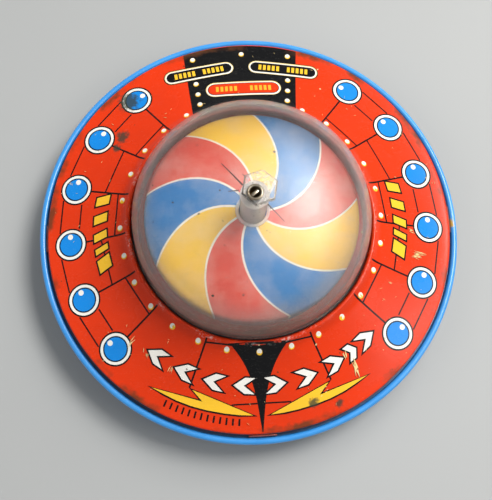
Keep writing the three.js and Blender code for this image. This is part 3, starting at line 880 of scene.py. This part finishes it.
def makeLenses(sizes):
    centres = [(side, angle, polar(sizes["ring"], angle, side)) for side, angle in lensPlaces]
    sparks = []
    for side, angle, (x, y) in centres:
        dx, dy = polar(sizes["sparkAway"], angle + 90, side)
        sparks.append(disc(x + dx, y + dy, sizes["spark"], 20))
    layers = (("lens_outlines", "line", "black"), ("lens_rings", "white", "white"),
              ("lens_edges", "edge", "lensEdge"), ("lens_discs", "blue", "lens"))
    for layer, (name, size, ink) in enumerate(layers, 2):
        layDown(name, [disc(x, y, sizes[size]) for _, _, (x, y) in centres], ink, layer)
    layDown("lens_sparks", sparks, "white", 6)


panelSizes = {
    "width": 0.6,
    "thin": 0.5,
    "lensEdge": 57.6,
    "collar": 42.6,
    "innerChord": 47.1,
    "middleChord": 52.1,
    "outerChord": 59.9,
    "rimChord": 67.0,
    "frontAngle": 23.4,  # either side of the spike
    "frontReach": 59.9,
    "rimTrim": 4,  # degrees by which a chord stays clear of the lens at each end
    "outerTrim": 5,
    "frontHook": (44.5, 8.3, -42.6),  # radius where it leaves the front line, then x and y of its end
    "backLine": (10, -61.5),
}


def makePanelLines(sizes):
    lines = []
    angles = [lensSizes["first"] - k * lensSizes["step"] for k in range(lensSizes["count"])]
    rimTrim, outerTrim = sizes["rimTrim"], sizes["outerTrim"]
    hookRadius, hookX, hookY = sizes["frontHook"]
    for side in (1, -1):
        for angle in angles:
            lines.append(stroke(polar(sizes["collar"], angle, side), polar(sizes["lensEdge"], angle, side),
                                sizes["width"]))
        for gap, (a, b) in enumerate(zip(angles, angles[1:])):
            inner = sizes["innerChord"] if gap % 2 == 0 else sizes["middleChord"]
            lines.append(stroke(polar(inner, a, side), polar(inner, b, side), sizes["thin"]))
            lines.append(stroke(polar(sizes["rimChord"], a - rimTrim, side),
                                polar(sizes["rimChord"], b + rimTrim, side), sizes["thin"]))
            if gap % 2 == 0:
                lines.append(stroke(polar(sizes["outerChord"], a - outerTrim, side),
                                    polar(sizes["outerChord"], b + outerTrim, side), sizes["thin"]))
        front = -90 + sizes["frontAngle"]
        lines.append(stroke(polar(sizes["collar"], front, side), polar(sizes["frontReach"], front, side),
                            sizes["width"]))
        lines.append(stroke(polar(hookRadius, front, side), (side * hookX, hookY), sizes["thin"]))
    x, y = sizes["backLine"]
    lines.append(stroke((-x, y), (x, y), sizes["thin"]))
    layDown("panel_lines", lines, "black", 1)


spikeSizes = {
    "tip": 71.4,
    "base": 41.9,
    "top": 39.0,  # where the flare would end if the base didn't cut it
    "halfTip": 0.12,
    "straight": 3.6,
    "flare": 8.9,
    "power": 3.6,
    "steps": 18,
    "splay": 1.1,  # how much wider the base is than the flare above it
}


def makeSpike(sizes):
    right = []
    for i in range(sizes["steps"] + 1):
        share = i / sizes["steps"]
        y = sizes["tip"] - share * (sizes["tip"] - sizes["top"])
        half = sizes["halfTip"] + sizes["straight"] * share + sizes["flare"] * share ** sizes["power"]
        right.append((half, -y))
    right = [point for point in right if -point[1] > sizes["base"]]
    last = right[-1]
    right.append((last[0] + sizes["splay"], -sizes["base"]))
    left = [(-x, y) for x, y in reversed(right)]
    layDown("front_spike", [right + left], "black", 2)


bandSizes = {
    "rim": 71.0,
    "collar": 42.5,
    "halfOuter": 21.2,
    "halfInner": 18.2,
}


def makeBand(sizes):
    outerAngle = math.degrees(math.asin(sizes["halfOuter"] / sizes["rim"]))
    innerAngle = math.degrees(math.asin(sizes["halfInner"] / sizes["collar"]))
    outer = arc(0, 0, sizes["rim"], 90 - outerAngle, 90 + outerAngle, 16)
    inner = arc(0, 0, sizes["collar"], 90 + innerAngle, 90 - innerAngle, 16)
    layDown("back_band", [outer + inner], "black", 2)


pillSizes = {
    "side": {"x": 15.6, "y": 59.5, "turn": -8.0, "half": 13.2, "halfWidth": 3.2, "firstBar": 2.0,
             "barStep": 1.65},
    "middle": {"x": 0.3, "y": 50.7, "turn": 0.0, "half": 14.0, "halfWidth": 3.65, "firstBar": 2.9,
               "barStep": 1.65},
    "line": 0.3,
    "rim": 0.72,
    "light": 0.28,  # from the cream to the white on it, which sits a little lower
    "lightDrop": 0.12,
    "red": 0.25,
    "bar": (1.05, 2.35),
    "barCount": 5,
}


def makePills(sizes):
    places = [(sizes["side"], 1), (sizes["side"], -1), (sizes["middle"], 1)]
    lines, creams, whites, wells, reds, bars, oranges = [], [], [], [], [], [], []
    barWidth, barHeight = sizes["bar"]
    for pill, side in places:
        def put(outline):
            placed = moved(outline, pill["x"], pill["y"], pill["turn"])
            return placed if side == 1 else mirroredX(placed)
        half, wide = pill["half"], pill["halfWidth"]
        lines.append(put(capsule(half, wide)))
        creams.append(put(capsule(half - sizes["line"], wide - sizes["line"])))
        inset = sizes["line"] + sizes["light"]
        whites.append(put(moved(capsule(half - inset, wide - inset), 0, -sizes["lightDrop"], 0)))
        inset = sizes["line"] + sizes["rim"]
        wells.append(put(capsule(half - inset, wide - inset)))
        if pill is sizes["middle"]:
            reds.append(put(capsule(half - inset - sizes["red"], wide - inset - sizes["red"])))
        group = oranges if pill is sizes["middle"] else bars
        for k in range(sizes["barCount"]):
            for sign in (1, -1):
                u = sign * (pill["firstBar"] + pill["barStep"] * k)
                group.append(put([(u - barWidth / 2, -barHeight / 2), (u + barWidth / 2, -barHeight / 2),
                                  (u + barWidth / 2, barHeight / 2), (u - barWidth / 2, barHeight / 2)]))
    layDown("window_lines", lines, "black", 3)
    layDown("window_rims", creams, "cream", 4)
    layDown("window_rim_lights", whites, "white", 5)
    layDown("window_wells", wells, "black", 6)
    layDown("window_red", reds, "red", 7)
    layDown("window_bars", bars, "yellow", 7)
    layDown("window_bars_orange", oranges, "orange", 8)


dotSizes = {
    "ring": 45.0,
    "first": 13.84,  # from the spike to the first dot on each side
    "step": 12.62,
    "count": 12,
    "radius": 1.0,
    "bandDots": ((17.8, 65.6), (16.85, 54.2), (16.3, 49.2), (15.7, 44.4)),
    "rimDot": (0.5, 67.2),
    "shade": -0.12,  # how far the yellow and the white of a dot are moved in Y
    "light": 0.14,
    "lightShare": 0.82,
}


def makeDots(sizes):
    centres = [(0, -sizes["ring"]), sizes["rimDot"]]
    for side in (1, -1):
        for k in range(sizes["count"]):
            centres.append(polar(sizes["ring"], -90 + sizes["first"] + k * sizes["step"], side))
        centres += [(side * x, y) for x, y in sizes["bandDots"]]
    for name, shift, share, ink, layer in (("rivet_dot_shades", "shade", 1, "yellow", 4),
                                           ("rivet_dots", "light", sizes["lightShare"], "white", 5)):
        layDown(name, [disc(x, y + sizes[shift], sizes["radius"] * share, 20) for x, y in centres],
                ink, layer)


boltShape = [(2.9, -65.3), (22.9, -55.8), (19.7, -59.8), (36.6, -54.1), (32.6, -56.5), (28.4, -58.9),
             (23.6, -61.0), (18.4, -62.7), (12.4, -64.1), (7.6, -64.9)]


boltLine = 0.55  # width of the black line round a bolt


def makeBolts(outline):
    both = [outline, mirroredX(outline)]
    layDown("bolt_outlines", [grown(one, boltLine) for one in both], "black", 3)
    layDown("bolts", both, "yellow", 4)


markSizes = {
    "arcRadius": 55.8,
    "narrowAngle": -56.0,  # the one narrow chevron
    "arcAngles": (-127.7, -116.8, -106.2, -95.7, -84.9, -73.9, -63.2, -56.0, -49.2),
    "chevron": (7.2, 5.2, 3.4),  # width, height and thickness
    "narrow": (4.2, 5.2, 2.4),
    "outline": 0.55,
    "sideRadius": 52.2,
    "sideBars": ((11.8, 3.2), (4.6, 3.0), (-2.2, 2.6), (-7.4, 1.9), (-13.0, 4.4)),
    "sideHeight": 4.6,
    "slant": 0.7,
    "tickWidth": 0.62,
    "tickRadius": (66.6, 68.9),
    "tickFirst": -118.4,
    "tickStep": 1.82,
    "tickCount": 13,
}


def chevron(width, height, thick):
    # points to the right
    return [(-width / 2, height / 2), (width / 2 - thick, 0), (-width / 2, -height / 2),
            (-width / 2 + thick, -height / 2), (width / 2, 0), (-width / 2 + thick, height / 2)]


def makeMarks(sizes):
    # plain chevrons and bars: they read as decoration and spell nothing
    white, yellow = [], []
    for angle in sizes["arcAngles"]:
        shape = chevron(*(sizes["narrow"] if angle == sizes["narrowAngle"] else sizes["chevron"]))
        x, y = polar(sizes["arcRadius"], angle)
        toRight = shape if angle > -90 else mirroredX(shape)
        white.append(moved(toRight, x, y, angle + 90))
    slant, tall = sizes["slant"], sizes["sideHeight"] / 2
    for side in (1, -1):
        for angle, length in sizes["sideBars"]:
            half = length / 2
            bar = [(-half - slant, -tall), (half - slant, -tall), (half + slant, tall), (-half + slant, tall)]
            x, y = polar(sizes["sideRadius"], angle)
            placed = moved(bar, x, y, angle - 90)
            yellow.append(placed if side == 1 else mirroredX(placed))
    layDown("mark_outlines", [grown(one, sizes["outline"]) for one in white + yellow], "black", 3)
    layDown("chevrons", white, "white", 4)
    layDown("side_bars", yellow, "yellow", 4)
    inner, outer = sizes["tickRadius"]
    ticks = []
    for k in range(sizes["tickCount"]):
        angle = sizes["tickFirst"] + k * sizes["tickStep"]
        ticks.append(stroke(polar(inner, angle), polar(outer, angle), sizes["tickWidth"]))
    layDown("edge_ticks", ticks, "black", 2)


scratchSetup = {
    "seed": 15,
    # radius, angle, spread, count, length, direction and width of the scratches in each patch
    "patches": ((59.3, -13.5, 1.5, 12, 4.2, 172, 0.2), (56.2, -5.0, 0.9, 5, 2.6, 165, 0.16),
                (61.0, -57.6, 0.9, 8, 7.0, -74, 0.36), (55.5, -58.5, 0.8, 5, 3.0, -68, 0.3),
                (57.8, -137.5, 1.1, 6, 3.6, 38, 0.2), (57.0, -121.5, 0.8, 4, 3.8, 75, 0.18),
                (52.3, -27.0, 0.5, 3, 1.4, 170, 0.2), (67.5, 12.0, 2.0, 5, 1.6, 80, 0.14),
                (62.5, -70.0, 2.0, 6, 1.0, 20, 0.2), (66.0, 163.0, 0.6, 3, 3.0, -8, 0.14),
                (57.0, -131.0, 1.2, 5, 1.8, 85, 0.16)),
    "loose": 70,
    "looseWidth": 0.13,
    "scatter": 0.5,  # share of a patch's spread, in X and in Y
    "lengthShare": (0.35, 1.0),
    "turnSpread": 9,
    "widthShare": (0.6, 1.4),
    "looseFrom": 46,
    "looseLength": (0.3, 1.3),
    "inner": 44,  # scratches stay between these radii
    "outer": 69.5,
}


def makeScratches(setup):
    rng = random.Random(setup["seed"])
    marks = []
    for radius, angle, spread, count, length, direction, width in setup["patches"]:
        for _ in range(count):
            x, y = polar(radius, angle)
            x += rng.gauss(0, spread * setup["scatter"])
            y += rng.gauss(0, spread * setup["scatter"])
            long = length * rng.uniform(*setup["lengthShare"])
            turn = math.radians(direction + rng.gauss(0, setup["turnSpread"]))
            marks.append((x, y, long, turn, width * rng.uniform(*setup["widthShare"])))
    for _ in range(setup["loose"]):
        x, y = polar(rng.uniform(setup["looseFrom"], setup["outer"]), rng.uniform(0, 360))
        marks.append((x, y, rng.uniform(*setup["looseLength"]), rng.uniform(0, math.pi),
                      setup["looseWidth"]))
    slivers = []
    for x, y, long, turn, wide in marks:
        if not setup["inner"] < math.hypot(x, y) < setup["outer"]:
            continue
        dx, dy = math.cos(turn) * long / 2, math.sin(turn) * long / 2
        nx, ny = -math.sin(turn) * wide / 2, math.cos(turn) * wide / 2
        slivers.append([(x - dx, y - dy), (x + nx, y + ny), (x + dx, y + dy), (x - nx, y - ny)])
    layDown("scratches", slivers, "cream", 9)


makePanelLines(panelSizes)
makeSpike(spikeSizes)
makeBand(bandSizes)
makeLenses(lensSizes)
makePills(pillSizes)
makeDots(dotSizes)
makeBolts(boltShape)
makeMarks(markSizes)
makeScratches(scratchSetup)
print("print laid on the cover")


# clear dome, gasket, and what shows through the dome

domeLow, domeHigh = boxOf("clear_dome")

domeSizes = {
    "radius": 40.4,
    "wall": 1.2,
    "bottom": domeLow.z,
    "skirt": 3.3,
    "rise": 29.2,
    "square": 2.5,
    "flange": (domeHigh.x, 1.0),
    "bore": 2.49,
    "fineTo": 8.8,  # rings lie close together from here inwards, for the boss
    "fineSteps": 42,
    "innerFineTo": 4.0,
}


def crown(radius, rise, bottom, square, stop, steps=30):
    points = []
    for i in range(steps + 1):
        angle = math.pi / 2 * i / steps
        r = radius * math.cos(angle) ** (2 / square) if i < steps else 0
        if r > stop:
            points.append((r, bottom + rise * math.sin(angle) ** (2 / square)))
    return points


def makeDome(sizes, boss):
    shoulder = sizes["bottom"] + sizes["skirt"]
    apex = shoulder + sizes["rise"]
    flangeRadius, flangeHeight = sizes["flange"]
    fineTo, steps, wall = sizes["fineTo"], sizes["fineSteps"], sizes["wall"]
    outer = crown(sizes["radius"], sizes["rise"], shoulder, sizes["square"], fineTo)
    edge = outer[-1]
    fine = []
    for i in range(1, steps + 1):
        r = edge[0] + (sizes["bore"] - edge[0]) * i / steps
        fine.append((r, apex - (apex - edge[1]) * (r / edge[0]) ** sizes["square"]))
    inner = crown(sizes["radius"] - wall, sizes["rise"] - wall, shoulder, sizes["square"],
                  sizes["innerFineTo"])
    outline = [
        (flangeRadius, sizes["bottom"]),
        (flangeRadius, sizes["bottom"] + flangeHeight - 0.2),
        (flangeRadius - 0.2, sizes["bottom"] + flangeHeight),
        (sizes["radius"], sizes["bottom"] + flangeHeight),
        *outer, *fine,
        (sizes["bore"], apex - wall),
        *reversed(inner),
        (sizes["radius"] - wall, sizes["bottom"]),
    ]
    bm = turned(outline, 192)
    middle = Vector(boss["middle"])
    across = [Vector(polar(1, boss["turn"] + 60 * k)) for k in range(3)]
    for vert in bm.verts:
        if vert.co.xy.length / mm > fineTo or vert.co.z / mm < apex - 0.9:
            continue
        spot = vert.co.xy / mm - middle
        flats = max(abs(spot.dot(direction)) for direction in across)
        share = min(max((boss["flats"] - flats) / boss["edge"], 0), 1)
        vert.co.z += boss["height"] * mm * share * share * (3 - 2 * share)
    finishPiece(bm, "dome", "saucer", domePlastic, ["clear_dome"], 40)


crackSizes = {
    "upper": {"from": (4.6, 141), "to": (14.2, 133), "width": 0.42},
    "lower": {"from": (5.2, -44), "to": (12.4, -47), "width": 0.3},
    "left": {"from": (5.0, 166), "to": (8.2, 172), "width": 0.3},
    "short": {"from": (5.1, 112), "to": (7.3, 118), "width": 0.26},
}


crackShape = {
    "steps": 8,
    "taper": 0.8,  # share of its width that a crack loses towards its end
    "proud": 0.02,
    "deep": 0.5,
}


def makeCracks(cracks, shape, dome):
    # slivers through the dome's wall, just proud of it
    apex = dome["bottom"] + dome["skirt"] + dome["rise"]
    for name, crack in cracks.items():
        a, b = Vector(polar(*crack["from"])), Vector(polar(*crack["to"]))
        bm = bmesh.new()
        rows = []
        for i in range(shape["steps"] + 1):
            t = i / shape["steps"]
            spot = a.lerp(b, t)
            side = (b - a).normalized().orthogonal() * crack["width"] / 2 * (1 - t * shape["taper"])
            top = apex - dome["rise"] * (1 - (1 - (spot.length / dome["radius"]) ** dome["square"])
                                         ** (1 / dome["square"])) + shape["proud"]
            low = top - shape["deep"]
            rows.append([bm.verts.new(((spot.x + s * side.x) * mm, (spot.y + s * side.y) * mm, z * mm))
                         for s, z in ((1, top), (-1, top), (-1, low), (1, low))])
        for first, second in zip(rows, rows[1:]):
            for k in range(4):
                bm.faces.new((first[k], first[(k + 1) % 4], second[(k + 1) % 4], second[k]))
        bm.faces.new(rows[0])
        bm.faces.new(rows[-1])
        bmesh.ops.recalc_face_normals(bm, faces=bm.faces)
        finishPiece(bm, "dome_crack_" + name, "saucer", crackLine)


def makeGasket():
    low, high = boxOf("dome_gasket")
    radius = (high.z - low.z) / 2
    outline = arc(high.x - radius, (low.z + high.z) / 2, radius, 0, 330, 11)
    finishPiece(turned(outline, 192), "gasket", "saucer", blackRubber, ["dome_gasket"])


swirlSizes = {
    "radius": 36.2,
    "bottom": 25.0,
    "shoulder": 34.4,
    "round": 1.6,
    "crown": 4.0,
    "bore": 4.62,
    "wall": 0.4,
}


def makeSwirlDome(sizes):
    span = sizes["radius"] - sizes["round"]
    curve = (span ** 2 + sizes["crown"] ** 2) / (2 * sizes["crown"])
    centre = sizes["shoulder"] + sizes["crown"] - curve
    degrees = [math.degrees(math.acos(r / curve)) for r in (span - 0.6, sizes["bore"])]
    line = [(sizes["radius"], sizes["bottom"])]
    line += arc(span, sizes["shoulder"] - sizes["round"], sizes["round"], 0, 78, 8)
    line += arc(0, centre, curve, degrees[0], degrees[1], 26)
    bm = thickened(turned(line, 192, closed=False), sizes["wall"])
    finishPiece(bm, "swirl", "saucer", swirlPrint, ["swirl_dome"], 50)


def makeRing(name, node, soft, bore):
    # a plain turned ring of milky plastic with rounded edges, in place of a CAD ring of the same box
    low, high = boxOf(node)
    outline = rounded([(bore, low.z, soft), (high.x, low.z, soft),
                       (high.x, high.z, soft), (bore, high.z, soft)])
    finishPiece(turned(outline, 64), name, "saucer", milkyPlastic, [node], 50)


eyeletSizes = {
    "bore": 1.69,
    "shank": 2.19,
    "lowerRoll": 2.95,
    "roll": 2.62,
    "rollHeight": 0.42,
}


def makeEyelet(sizes):
    foot, top = (corner.z for corner in boxOf("top_eyelet"))
    outline = [
        (sizes["bore"], foot + 0.1),
        *arc(sizes["lowerRoll"] - 0.2, foot + 0.2, 0.2, -90, 90, 6),
        (sizes["shank"], foot + 0.4),
        (sizes["shank"], top - sizes["rollHeight"]),
        *arc(sizes["roll"] - 0.2, top - sizes["rollHeight"] + 0.12, 0.2, -90, 60, 6),
        *arc(sizes["bore"] + 0.42, top - 0.42, 0.42, 80, 180, 8),
    ]
    finishPiece(turned(outline, 64), "eyelet", "saucer", tarnishedSteel, ["top_eyelet"], 40)


rodSizes = {
    "width": 2.8,
    "thick": 1.0,
    "lead": 40.0,
    "zeroTwist": 53.6,  # the height where the strip lies along X
    "level": 0.5,
    "ear": 3.6,
    "earTop": 1.8,
    "earThin": 0.9,
    "soft": 0.14,
}


def makeRod(sizes):
    low, high = boxOf("twisted_rod")
    bm = bmesh.new()
    bmesh.ops.create_cube(bm, size=1)
    tall = high.z - low.z
    bmesh.ops.scale(bm, vec=(sizes["width"] * mm, sizes["thick"] * mm, tall * mm), verts=bm.verts)
    bmesh.ops.translate(bm, vec=(0, 0, (low.z + high.z) / 2 * mm), verts=bm.verts)
    bmesh.ops.bevel(bm, geom=bm.edges[:], offset=sizes["soft"] * mm, segments=2, profile=0.5,
                    affect="EDGES", material=-1)
    for k in range(1, int(tall / sizes["level"])):
        geom = bm.verts[:] + bm.edges[:] + bm.faces[:]
        bmesh.ops.bisect_plane(bm, geom=geom, dist=1e-8, plane_co=(0, 0, (low.z + k * sizes["level"]) * mm),
                               plane_no=(0, 0, 1))
    for vert in bm.verts:
        height = vert.co.z / mm
        if height < low.z + sizes["earTop"]:
            vert.co.x *= sizes["ear"] / sizes["width"]
            vert.co.y *= sizes["earThin"]
        spin = Matrix.Rotation(2 * math.pi * (height - sizes["zeroTwist"]) / sizes["lead"], 3, "Z")
        vert.co = spin @ vert.co
    finishPiece(bm, "pump_strip", "pump_rod", tarnishedSteel, ["twisted_rod"], 30)


makeDome(domeSizes, bossSizes)
makeCracks(crackSizes, crackShape, domeSizes)
makeGasket()
makeSwirlDome(swirlSizes)
makeRing("hub_collar", "swirl_hub_collar", 0.3, 4.61)
makeRing("milky_tube", "guide_tube", 0.15, 3.5)
makeRing("apex_washer", "clutch_washer", 0.12, 2.49)
makeEyelet(eyeletSizes)
makeRod(rodSizes)
print("dome and inner pieces made")


# foot

footSizes = {
    "bore": 3.1,
    "hub": 6.5,
    "edgeHeight": 1.6,
    "coneTop": 6.6,
    "coneOut": 1.4,  # how far the hub widens before it meets the cone
    "hubOut": 0.2,
    "padWidth": 8.0,
    "padGroove": (0.8, 0.6),  # half width and depth of the groove in the pad's underside
}


def makeFoot(sizes):
    low, high = boxOf("foot_cup")
    outline = rounded([
        (sizes["bore"], low.z, 0.1),
        (high.x, low.z, 0.25),
        (high.x, low.z + sizes["edgeHeight"], 0.6),
        (sizes["hub"] + sizes["coneOut"], sizes["coneTop"], 0.8),
        (sizes["hub"] + sizes["hubOut"], high.z, 0.4),
        (sizes["bore"], high.z, 0.1),
    ])
    finishPiece(turned(outline, 128), "foot_dish", "foot", footPlastic, ["foot_cup"], 50)
    padHigh = boxOf("foot_pad")[1]
    bore = padHigh.x - sizes["padWidth"]
    groove = (bore + padHigh.x) / 2
    half, deep = sizes["padGroove"]
    outline = rounded([
        (bore, 0, 0.3), (groove - half, 0, 0.2), (groove - half, deep, 0.2), (groove + half, deep, 0.2),
        (groove + half, 0, 0.2), (padHigh.x - 0.2, 0, 0.5), (padHigh.x, padHigh.z, 0.3),
        (bore, padHigh.z, 0.2),
    ])
    finishPiece(turned(outline, 128), "rubber_pad", "foot", blackRubber, ["foot_pad"], 50)


makeFoot(footSizes)

nodeFinishes = {
    "clutch_cup": milkyPlastic,
    "clutch_plate": tarnishedSteel,
    "bearing_bush": agedBrass,
    "pivot_post": tarnishedSteel,
    "post_washer": tarnishedSteel,
    "thrust_washer": brownFibre,
    "retaining_clip": tarnishedSteel,
    "drive_nut": agedBrass,
}

for nodeName, finish in nodeFinishes.items():
    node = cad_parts[nodeName]
    node.data.materials.clear()
    node.data.materials.append(finish)
print("foot and hidden pieces finished")


# floor

def makeFloor():
    material, tree, shader, coords = startMaterial("floor_paint", {"Roughness": 0.6})
    cloud = noiseOf(tree, coords, 3.0, 3.0)
    color = mixColor(tree, remap(tree, cloud, 0.3, 0.7), (0.36, 0.365, 0.36, 1), (0.40, 0.405, 0.40, 1))
    plug(shader, "Base Color", color)
    bm = bmesh.new()
    bmesh.ops.create_grid(bm, x_segments=1, y_segments=1, size=3)
    mesh = bpy.data.meshes.new("floor")
    bm.to_mesh(mesh)
    bm.free()
    mesh.materials.append(material)
    floor = bpy.data.objects.new("floor", mesh)
    scene.collection.objects.link(floor)


makeFloor()
